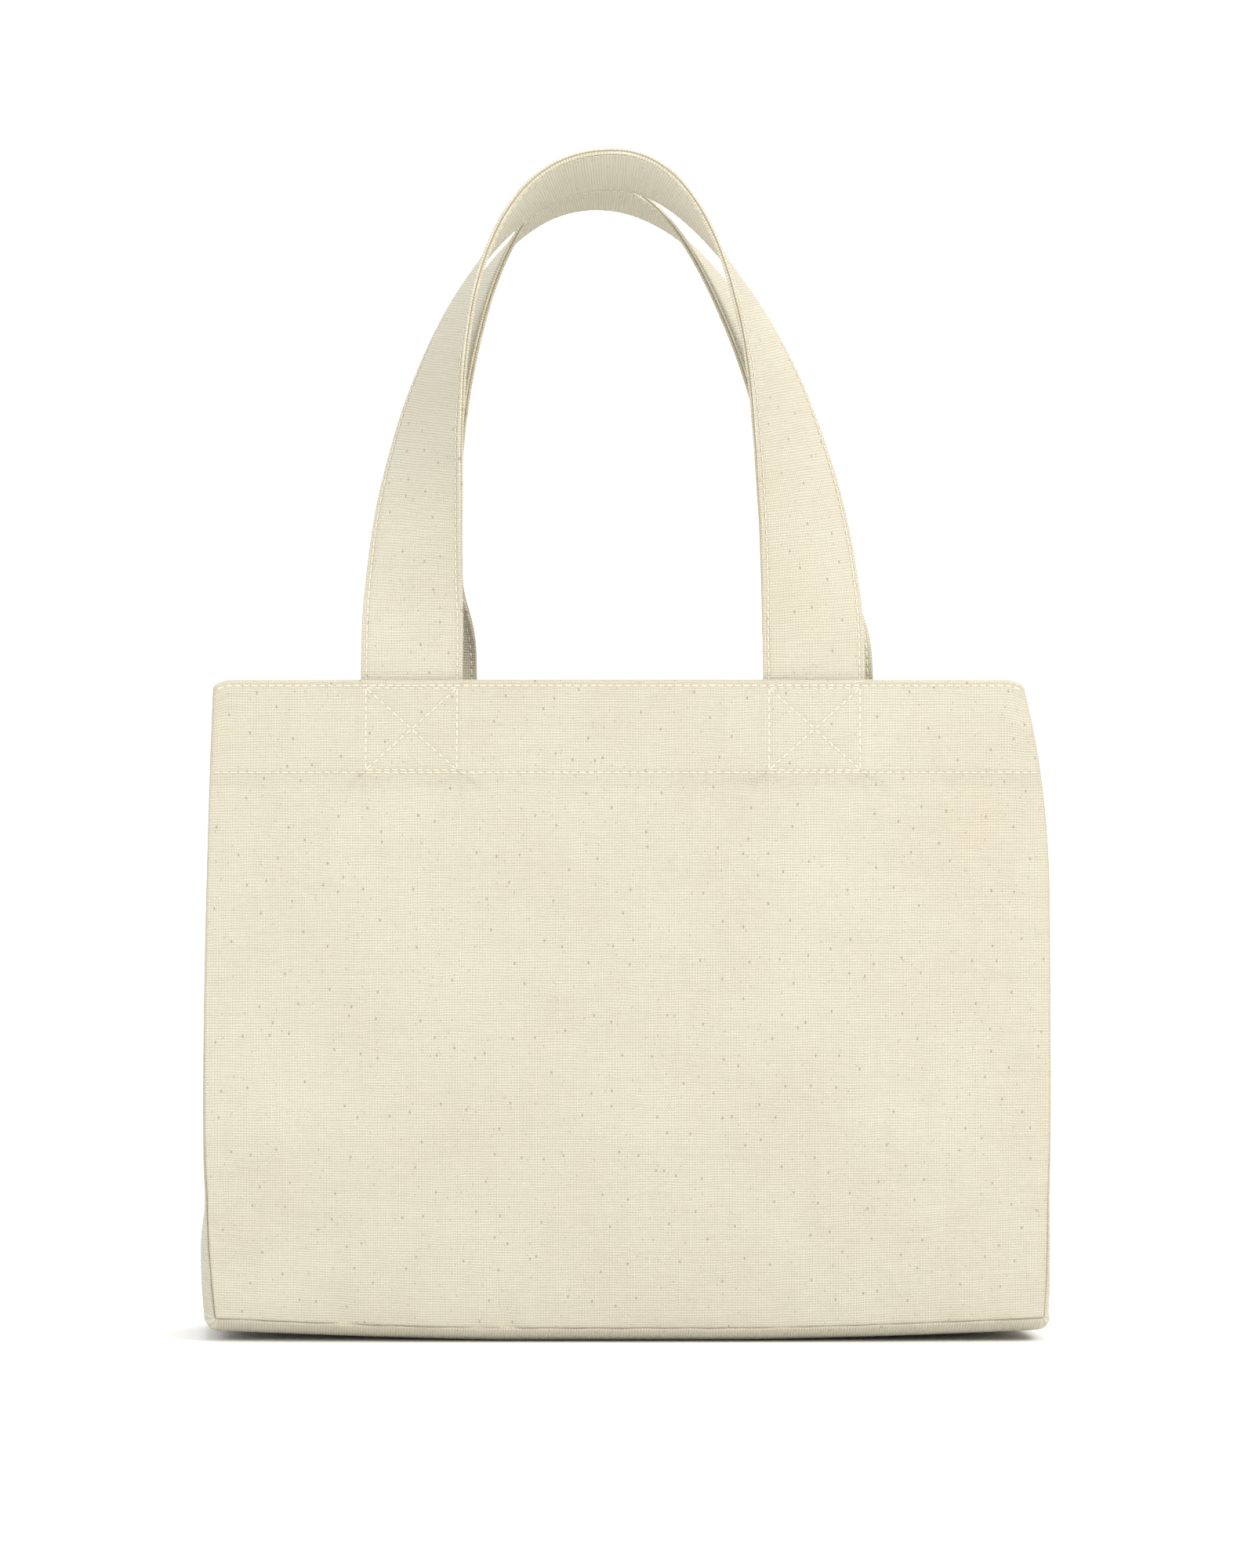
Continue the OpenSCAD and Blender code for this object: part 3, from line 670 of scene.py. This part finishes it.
# %% Stations of the gusset
class Station:
    """One place along the strip: both seam lines, the way out of the bag, and the nominal height there."""

    def __init__(self, out, front, back, z, down, squeeze=0.0, length=0.0):
        self.out, self.z, self.down, self.squeeze, self.length = out, z, down, squeeze, length
        side, bottom = side_seam(z), bottom_seam()
        self.start, self.shift, self.turn, self.radius = (mix(a, b, down) for a, b in zip(side, bottom))
        self.front, self.back = front + out * self.shift, back + out * self.shift
        self.axis = (self.back - self.front).cross(out).normalized()
        tiny = 0.002
        to_middle, to_front = self.bare(tiny) - self.front, self.bare(1 - tiny) - self.back
        self.rate = to_middle.length / tiny
        self.from_front, self.from_back = to_middle.normalized(), to_front.normalized()

    def bare(self, v):
        """The strip's outer face at v across it, without waves."""
        w = abs(2 * v - 1)
        stand = mix(side_bulge(self.z, w), floor_drop(w), self.down)
        stand -= (crease(self.z) + self.shift) * tent(v)
        return self.front.lerp(self.back, v) + self.out * stand

    def normal(self, v):
        tangent = self.bare(min(1, v + 0.004)) - self.bare(max(0, v - 0.004))
        return self.axis.cross(tangent).normalized()

    def place(self, column, outer):
        layer = self.squeeze if outer else cloth(self.z) - self.squeeze
        kind, share = column
        if kind:
            along, inward = arc_point(share, layer, self.start, self.turn, self.radius)
            origin, ahead = (self.front, self.from_front) if kind == FRONT else (self.back, self.from_back)
            inside = ahead.cross(self.axis) * (1 if kind == FRONT else -1)
            reach = self.start - share * self.turn * self.radius
            u = reach if kind == FRONT else 2 * half_gusset - reach
            # Painted shade where the strip turns into its seams.
            point, shade = origin + ahead * along + inside * inward, 0.6 * share
        else:
            first = self.start / self.rate
            v = mix(first, 1 - first, share)
            u = v * 2 * half_gusset
            edge_calm = ease(min(share, 1 - share) / 0.25)
            where = Vector((u * 14, self.length * 9, 5.0))
            wave = mix(1.3, 0.35, self.down) * MM * edge_calm * noise.noise(where)
            wave += 0.3 * MM * edge_calm * noise.noise(where * 3.1)
            # Painted shade along the crease and in the stitch row grooves; the base is also painted a
            # little darker.
            shade = 0.10 * bell(share - 0.5, 0.012) * clamp01(crease(self.z) / (10 * MM)) + 0.10 * self.down
            for row in (upper_row, lower_row):
                groove = bell(self.z - row, 0.9 * MM) * (1 - self.down)
                wave, shade = wave - 0.35 * MM * groove, shade + 0.2 * groove
            point = self.bare(v) + self.normal(v) * (wave - layer)
        # The inside is painted a little darker, as shade inside the bag.
        if not outer:
            u, shade = u + 0.3, 0.08
        point.z = max(point.z, 0.15 * MM if outer else 0.15 * MM + cloth_thickness)
        return point, (u, self.length), min(shade, 1.0)


def seam_point(face, side, z):
    x = edge(face, side, z)
    return Vector((x, panel_y(face, x, z), z + edge_lift(face, x, z)))


def side_station(side, z, squeeze=0.0):
    seams = seam_point(FRONT, side, z), seam_point(BACK, side, z)
    return Station(Vector((side, 0, 0)), *seams, z, 0.0, squeeze)


def corner_station(side, turn):
    out = Vector((side * math.cos(turn), 0, -math.sin(turn)))
    seams = []
    for face in (FRONT, BACK):
        x = edge(face, side, 0) - side * lower_corner
        seams.append(Vector((x, panel_y(face, x, 0), bottom_z(x) + lower_corner)) + out * lower_corner)
    return Station(out, *seams, 0.0, math.sin(turn))


def base_station(t):
    seams = []
    for face in (FRONT, BACK):
        x = mix(edge(face, LEFT, 0) + lower_corner, edge(face, RIGHT, 0) - lower_corner, t)
        seams.append(Vector((x, panel_y(face, x, 0), bottom_z(x))))
    return Station(Vector((0, 0, -1)), *seams, 0.0, 1.0)


def gusset_stations():
    falls = steps((5 * MM - mouth_fold, 0.5 * MM), (hem_depth - 5 * MM, 2.2 * MM),
                  (hem_depth + 4 * MM, 0.5 * MM), (mouth - mouth_fold - lower_corner, 2.6 * MM))
    side_rows = [(mouth - mouth_fold + mouth_fold * math.sin(a), mouth_fold * (1 - math.cos(a)))
                 for a in map(math.radians, (90, 82, 70, 54, 36, 18))]
    side_rows += [(mouth - mouth_fold - f, 0.0) for f in falls]
    turns = [math.radians(a) for a in (15, 30, 45, 60, 75, 90)]
    stations = [side_station(LEFT, *row) for row in side_rows] + [corner_station(LEFT, a) for a in turns]
    stations += [base_station(i / 130) for i in range(1, 130)]
    stations += [corner_station(RIGHT, a) for a in reversed(turns)]
    stations += [side_station(RIGHT, *row) for row in reversed(side_rows)]
    for before, after in zip(stations, stations[1:]):
        after.length = before.length + (after.front - before.front).length
    return stations


gusset_line = gusset_stations()
across = steps((0.46, 0.03), (0.54, 0.0065), (1.0, 0.03))
gusset_columns = [(FRONT, s) for s in arc_shares] + [(0, s) for s in across]
gusset_columns += [(BACK, s) for s in reversed(arc_shares)]
gusset_rings = [[st.place(c, True) for c in gusset_columns]
                + [st.place(c, False) for c in reversed(gusset_columns)] for st in gusset_line]
gusset = loft("gusset_cloth", gusset_rings, panel_duck)
print("gusset strip", round(gusset_line[-1].length, 3), "m long")

# %% [markdown]
# ## Hand straps
# A strap is a long strip folded to four layers. One edge is a single fold, and the other is two folds one
# above the other, stitched together, so it shows a slot. The strap leaves the mouth flat, twists as it
# rises and lies over on its side at the crown. A loft carries the section along that route, and the two
# sewn ends are part of it.

# %% Route of a strap
rises = {FRONT: 219.2 * MM, BACK: 213.6 * MM}
leans = {FRONT: 2 * MM, BACK: -13.5 * MM}
crown_offset = 24 * MM
lean_power, straight_part, extra_roll_power, easing_rounds = 1.3, 0.2, 8, 12
shoulders = {(FRONT, LEFT): 2.4, (FRONT, RIGHT): 1.9, (BACK, LEFT): 2.0, (BACK, RIGHT): 2.0}
# Each strap's turn at the crown, how late it comes, and a further turn close to the crown.
rolls = {FRONT: (math.radians(107), 1.1, 0.0), BACK: (math.radians(80), 0.35, math.radians(21))}
strap_foot = mouth + 0.8 * MM
strap_step = 1.7 * MM


def foot_y(face):
    return panel_y(face, legs[face, LEFT], mouth) - face * (hem_thickness + sewn_gap + strap_thickness / 2)


def loop_centre(face, a):
    """a runs from -90 degrees at the left foot through 0 at the crown to 90 at the right foot."""
    left, right = legs[face, LEFT], legs[face, RIGHT]
    power = 2 / shoulders[face, LEFT if a < 0 else RIGHT]
    up = max(0.0, math.cos(a)) ** power
    aside = math.copysign((right - left) / 2 * abs(math.sin(a)) ** power, a)
    x = (left + right) / 2 + aside + leans[face] * up**lean_power
    return Vector((x, mix(foot_y(face), face * crown_offset, up), strap_foot + rises[face] * up))


def even_route(face):
    """The loop's middle line in even steps, eased where the two shoulders meet."""
    fine = [loop_centre(face, math.radians(-90 + 180 * i / 1440)) for i in range(1441)]
    lengths = [0.0]
    for a, b in zip(fine, fine[1:]):
        lengths.append(lengths[-1] + (b - a).length)
    count = round(lengths[-1] / strap_step)
    route, k = [], 0
    for i in range(count + 1):
        target = lengths[-1] * i / count
        while k < len(fine) - 2 and lengths[k + 1] < target:
            k += 1
        part = (target - lengths[k]) / max(1e-9, lengths[k + 1] - lengths[k])
        route.append(fine[k].lerp(fine[k + 1], part))
    for _ in range(easing_rounds):
        eased = [(a + b * 2 + c) / 4 for a, b, c in zip(route, route[1:], route[2:])]
        route = [route[0], *eased, route[-1]]
    return route


class Strap:
    """Stations along a whole strap, sewn end to sewn end: middle point, way across and way through it."""

    def __init__(self, face):
        self.face = face
        through, wide = Vector((0, -1, 0)), Vector((1, 0, 0))
        low = hem_start + 1 * MM
        sewn = [low + strap_step * i for i in range(int((strap_foot - low) / strap_step))]
        y = foot_y(face)
        left = [(Vector((legs[face, LEFT], y, z)), -wide, through) for z in sewn]
        right = [(Vector((legs[face, RIGHT], y, z)), wide, through) for z in reversed(sewn)]
        route, loop = even_route(face), []
        full, power, extra = rolls[face]
        for i, point in enumerate(route):
            ahead = route[min(i + 1, len(route) - 1)] - route[max(i - 1, 0)]
            outward = Vector((-ahead.z, 0, ahead.x)).normalized()
            up = clamp01((point.z - strap_foot) / rises[face])
            turn = full * up**power * ease(up / straight_part) + extra * up**extra_roll_power
            wide = outward * math.cos(turn) - through * math.sin(turn)
            loop.append((point, wide, through * math.cos(turn) + outward * math.sin(turn)))
        self.stations = left + loop + right
        self.length = (len(self.stations) - 1) * strap_step

    def point(self, s, w, t):
        """A point w across the strap from its middle and t through it, at a distance s along it."""
        k = min(max(s / strap_step, 0.0), len(self.stations) - 1.001)
        i, part = int(k), k - int(k)
        centre, wide, thick = (a.lerp(b, part) for a, b in zip(self.stations[i], self.stations[i + 1]))
        sway = 0.7 * MM * noise.noise(Vector((s * 14, 2.0 * self.face, 0)))
        flutter = 0.35 * MM * noise.noise(Vector((s * 42, w * 25, 7.0 * self.face)))
        flutter *= abs(w) / (strap_width / 2)
        free = ease((centre.z - mouth) / (15 * MM))
        p = centre + wide * w + thick * (t + free * (sway + flutter))
        held = 1 - ease((p.z - mouth) / (28 * MM))
        z = min(centre.z, mouth)
        bow = panel_y(self.face, centre.x + wide.x * w, z)
        p.y += held * (bow - panel_y(self.face, legs[self.face, LEFT], mouth))
        return p, thick


def strap_section():
    """Half of the section, from the slotted edge to the single fold: (across, through, shade)."""
    half, r = strap_width / 2, 0.74 * MM
    half_thick = strap_thickness / 2
    # Painted shade deep in the slot and round its folds, and in the stitch row grooves.
    section = [(-half + 1.9 * MM, 0.02 * MM, 0.9)]
    for a in (262, 238, 212, 185, 160, 135, 112):
        a = math.radians(a)
        section.append((-half + r + r * math.cos(a), r + r * math.sin(a), 0.6 * max(0.0, -math.sin(a))))
    places = [-20.9, -20.3, -19.9, -19.6, -19.3, -18.9, -18.3, -17.2]
    places = places + [-15 + 2.5 * i for i in range(13)] + [-p for p in reversed(places[1:])]
    for place in places:
        w = place * MM
        row = bell(abs(w) - (half - row_inset), 0.75 * MM)
        edge_drop = 0.1 * MM * clamp01((abs(w) - 17 * MM) / (4 * MM))
        surface = half_thick - 0.42 * MM * row - edge_drop + 0.08 * MM * bell(w, 5 * MM)
        section.append((w, surface, 0.24 * row))
    for a in (72, 54, 36, 18, 0):
        a = math.radians(a)
        section.append((half - 1.4 * MM + 1.4 * MM * math.cos(a), 1.4 * MM * math.sin(a), 0.0))
    return section


def strap_piece(strap, name):
    section = strap_section()
    rings = []
    for i in range(len(strap.stations)):
        s = i * strap_step
        ring = []
        for w, t, shade in section:
            ring.append((strap.point(s, w, t)[0], (w + 1.0, s), shade))
        for w, t, shade in reversed(section):
            ring.append((strap.point(s, w, -t)[0], (2.0 - w, s), shade))
        rings.append(ring)
    return loft(name, rings, strap_duck)


straps = {face: Strap(face) for face in face_names}
strap_cloth = {face: strap_piece(strap, f"{face_names[face]}_strap_cloth")
               for face, strap in straps.items()}
print("strap lengths", {k: round(s.length, 3) for k, s in straps.items()})

# %% [markdown]
# ## Seam allowances
# Inside the bag the raw edges of panel and gusset lie together and are overlocked: thread wraps their cut
# edge so it can't fray. They stand into the bag along the middle of the corner. They show only from above.

# %% Seam allowances and overlock thread
def allowance_frame(station, face):
    """Start of the allowance at a station, the way it stands into the bag, and the way across it."""
    seam = station.front if face == FRONT else station.back
    half_angle = math.pi - station.turn
    inward = Vector((0, -face, 0))
    along = -station.out * math.cos(half_angle) + inward * math.sin(half_angle)
    square = station.out * math.sin(half_angle) + inward * math.cos(half_angle)
    reach = station.start * math.cos(half_angle) + station.radius * math.sin(half_angle)
    return seam + along * (reach - 0.2 * MM), along, square


def allowance_runs():
    sides = [st for st in gusset_line if st.down == 0 and 20 * MM < st.z < hem_start - 2 * MM]
    base = [st for st in gusset_line if st.down == 1 and abs(st.front.x) < left_reach - 15 * MM]
    return [[st for st in sides if st.out.x < 0], [st for st in sides if st.out.x > 0], base]


def allowance_piece(face, name):
    points, faces, wraps = [], [], []
    width, half = 9 * MM, 0.62 * MM
    outline = [(0, 1), (0.5, 1.06), (0.92, 1), (1, 0.55), (1, -0.55), (0.92, -1), (0.5, -1.06), (0, -1)]
    size = len(outline)
    for run in allowance_runs():
        first = len(points)
        for st in run:
            origin, along, square = allowance_frame(st, face)
            wave = 0.35 * MM * noise.noise(Vector((st.length * 60, face, 2)))
            for a, b in outline:
                p = origin + along * (a * width) + square * (b * half + a * wave)
                points.append((p, (0.8 + a * width, st.length), 0.25 * a))
        for i in range(len(run) - 1):
            for k in range(size):
                a, b = first + i * size + k, first + i * size + (k + 1) % size
                faces.append((a, b, b + size, a + size))
        faces.append(tuple(range(first, first + size)))
        faces.append(tuple(reversed(range(len(points) - size, len(points)))))
        for i in range(1, len(run) - 1):
            here, after = allowance_frame(run[i], face), allowance_frame(run[i + 1], face)
            for way in (1, -1):
                lift = half + 0.1 * MM
                a = here[0] + here[1] * (0.58 * width) + here[2] * (way * lift)
                b = after[0] + after[1] * width + after[2] * (way * lift)
                wraps.append((a, b, here[2] * way))
            a = here[0] + here[1] * (width + 0.1 * MM) + here[2] * half
            wraps.append((a, a - here[2] * (2 * half), here[1]))
    cloth_piece = finish_mesh(name, points, faces, edge_duck)
    return cloth_piece, stitch_mesh(name + "_overlock", wraps, 0.5 * MM, 0.15 * MM)


allowances = {face: allowance_piece(face, f"{label}_seam_edges") for face, label in face_names.items()}

# %% [markdown]
# ## Stitching
# Two rows hold the hem, and a crossed box holds each strap end. A lockstitch looks the same on both sides,
# so each row is made on the outside and again inside, where it runs over the strap ends.

# %% Rows on the panels
def panel_outside(face, x, z):
    relief, _ = panel_relief(face, x, z)
    height = z + edge_lift(face, x, z)
    return Vector((x, panel_y(face, x, z) + face * relief, height)), Vector((0, face, 0))


def panel_inside(face, x, z):
    over_strap = min(abs(x - legs[face, LEFT]), abs(x - legs[face, RIGHT])) < strap_width / 2
    depth = hem_thickness + (sewn_gap + strap_thickness - 0.15 * MM if over_strap else 0)
    relief, _ = panel_relief(face, x, z)
    height = z + edge_lift(face, x, z)
    y = panel_y(face, x, z) - face * (depth - (0 if over_strap else relief))
    return Vector((x, y, height)), Vector((0, -face, 0))


def panel_row(face, z, surface):
    start, shift, _, _ = side_seam(z)
    left = edge(face, LEFT, z) - shift + start
    length = edge(face, RIGHT, z) + shift - start - left
    return lockstitches(lambda s: surface(face, left + s, z), length)


def gusset_row(z, outer):
    runs = []
    for side in (LEFT, RIGHT):
        st = side_station(side, z)
        way = 1 if outer else -1
        depth = 0 if outer else hem_thickness
        first = st.start / st.rate + 0.01
        span = 1 - 2 * first

        def path(s, st=st, way=way, depth=depth, first=first):
            v = first + s / (2 * half_gusset)
            normal = st.normal(v)
            return st.bare(v) - normal * (depth + 0.1 * MM * way), normal * way

        runs += lockstitches(path, span * 2 * half_gusset)
    return runs


def hem_row(name, z):
    runs = []
    for face in (FRONT, BACK):
        runs += panel_row(face, z, panel_outside) + panel_row(face, z, panel_inside)
    return stitch_mesh(name, runs + gusset_row(z, True) + gusset_row(z, False))


rows = [hem_row("mouth_row_thread", upper_row), hem_row("hem_row_thread", lower_row)]


# %% Crossed boxes
def box_thread(face, side, name):
    middle, w, h = legs[face, side], box_half_width, box_half_height
    corners = [(-w, -h), (w, -h), (w, h), (-w, h), (-w, -h), (w, h)], [(-w, h), (w, -h)]
    runs = []
    for chain in corners:
        for (x0, z0), (x1, z1) in zip(chain, chain[1:]):
            length = math.hypot(x1 - x0, z1 - z0)
            for surface in (panel_outside, panel_inside):
                def path(s, x0=x0, z0=z0, x1=x1, z1=z1, length=length, surface=surface):
                    t = s / length
                    return surface(face, middle + mix(x0, x1, t), box_middle + mix(z0, z1, t))

                runs += lockstitches(path, length)
    return stitch_mesh(name, runs)


boxes = {}
for face, side in legs:
    label = f"{face_names[face]}_{'left' if side == LEFT else 'right'}"
    boxes[label] = box_thread(face, side, f"box_thread_{label}")


# %% Rows along a strap
def strap_thread(strap, name):
    runs = []
    surface, end_margin = strap_thickness / 2 - 0.34 * MM, 1.5 * MM
    for w in (-strap_width / 2 + row_inset, strap_width / 2 - row_inset):
        for way in (1, -1):
            def path(s, w=w, way=way):
                point, thick = strap.point(s + end_margin, w, way * surface)
                return point, thick * way

            runs += lockstitches(path, strap.length - 2 * end_margin)
    return stitch_mesh(name, runs)


strap_rows = {face: strap_thread(strap, f"{face_names[face]}_strap_thread")
              for face, strap in straps.items()}

# %% [markdown]
# ## What each piece stands for and what it moves with
# The bag's cloth rides on the bag. A strap and the thread on it are attached to no body; the CAD parts
# they stand for are hidden and their meshes keep their place.


def belongs(piece, nodes, body="bag"):
    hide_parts(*nodes)
    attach(piece, body)


def bends(piece, nodes):
    """Hides the CAD parts a strap piece stands for and bakes its place into its mesh."""
    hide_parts(*nodes)
    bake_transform(piece)


belongs(panels[FRONT], ["front_panel"])
belongs(panels[BACK], ["back_panel"])
belongs(gusset, ["gusset"])
for face, label in face_names.items():
    cloth_piece, overlock = allowances[face]
    belongs(cloth_piece, [f"{label}_seam_allowance"])
    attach(overlock, "bag")
    ends = [f"{label}_handle_end_left", f"{label}_handle_end_right"]
    bends(strap_cloth[face], [f"{label}_handle_loop", *ends])
    bends(strap_rows[face], [f"{label}_handle_stitching"])
belongs(rows[0], ["mouth_edge_stitching"])
belongs(rows[1], ["hem_stitching"])
for label, piece in boxes.items():
    belongs(piece, [f"box_stitch_{label}"])

# %% [markdown]
# ## Paper and light
# The paper is one plane whose back edge is pulled up, with the bend rounded. A big soft lamp stands high at
# the right, a wider and weaker one at the left, and the world adds an even pale light, so shadows stay
# soft.

# %% Paper
bpy.ops.mesh.primitive_plane_add(size=6, location=(0, 0, 0))
paper = bpy.context.object
paper.name = "floor_paper"
bpy.ops.object.mode_set(mode="EDIT")
bpy.ops.mesh.select_mode(type="EDGE")
bpy.ops.mesh.select_all(action="DESELECT")
bpy.ops.object.mode_set(mode="OBJECT")
for paper_edge in paper.data.edges:
    paper_edge.select = all(paper.data.vertices[v].co.y > 2 for v in paper_edge.vertices)
bpy.ops.object.mode_set(mode="EDIT")
bpy.ops.mesh.extrude_region_move(TRANSFORM_OT_translate={"value": (0, 0, 4)})
bpy.ops.object.mode_set(mode="OBJECT")
bend = paper.modifiers.new("bend", "BEVEL")
bend.width, bend.segments = 1.2, 24
bpy.ops.object.modifier_apply(modifier=bend.name)
bpy.ops.object.shade_smooth()
paper_stuff = bpy.data.materials.new("matt white background paper")
paper_stuff.use_nodes = True
paper_tree = paper_stuff.node_tree
paper_place = add(paper_tree, "ShaderNodeTexCoord").outputs["Object"]
grain = add(paper_tree, NOISE, {"Vector": paper_place, "Scale": 9.0})
paper_tones = {SHARE: grain, FIRST: linear("#F7F7F6"), SECOND: linear("#FBFBFA")}
paper_colour = add(paper_tree, MIX, paper_tones, data_type="RGBA")
paper_tree.links.new(paper_colour.outputs[2], paper_tree.nodes["Principled BSDF"].inputs["Base Color"])
paper_tree.nodes["Principled BSDF"].inputs["Roughness"].default_value = 0.85
paper.data.materials.append(paper_stuff)
paper.select_set(False)


# %% Light
def lamp(name, place, aim, size, power, colour="#FFFFFF"):
    bpy.ops.object.light_add(type="AREA", location=place)
    light = bpy.context.object
    light.name = name
    light.rotation_euler = (Vector(aim) - Vector(place)).to_track_quat("-Z", "Y").to_euler()
    light.data.size, light.data.energy = size, power
    light.data.color = linear(colour)[:3]
    light.select_set(False)


lamp("key", (1.9, -2.0, 2.1), (0, 0, 0.25), 1.3, 78, "#FFFBF6")
lamp("fill", (-2.3, -1.9, 1.2), (0, 0, 0.25), 2.2, 43, "#F8FAFF")
lamp("top", (0.2, 0.5, 2.8), (0, 0, 0.2), 1.8, 45)
world = bpy.data.worlds.new("even pale light")
bpy.context.scene.world = world
world.use_nodes = True
world.node_tree.nodes["Background"].inputs["Color"].default_value = linear("#FBFBFA")
world.node_tree.nodes["Background"].inputs["Strength"].default_value = 0.70

# The plain display curve keeps a pale cloth's colours as they are set. A film curve would grey them.
bpy.context.scene.view_settings.view_transform = "Standard"
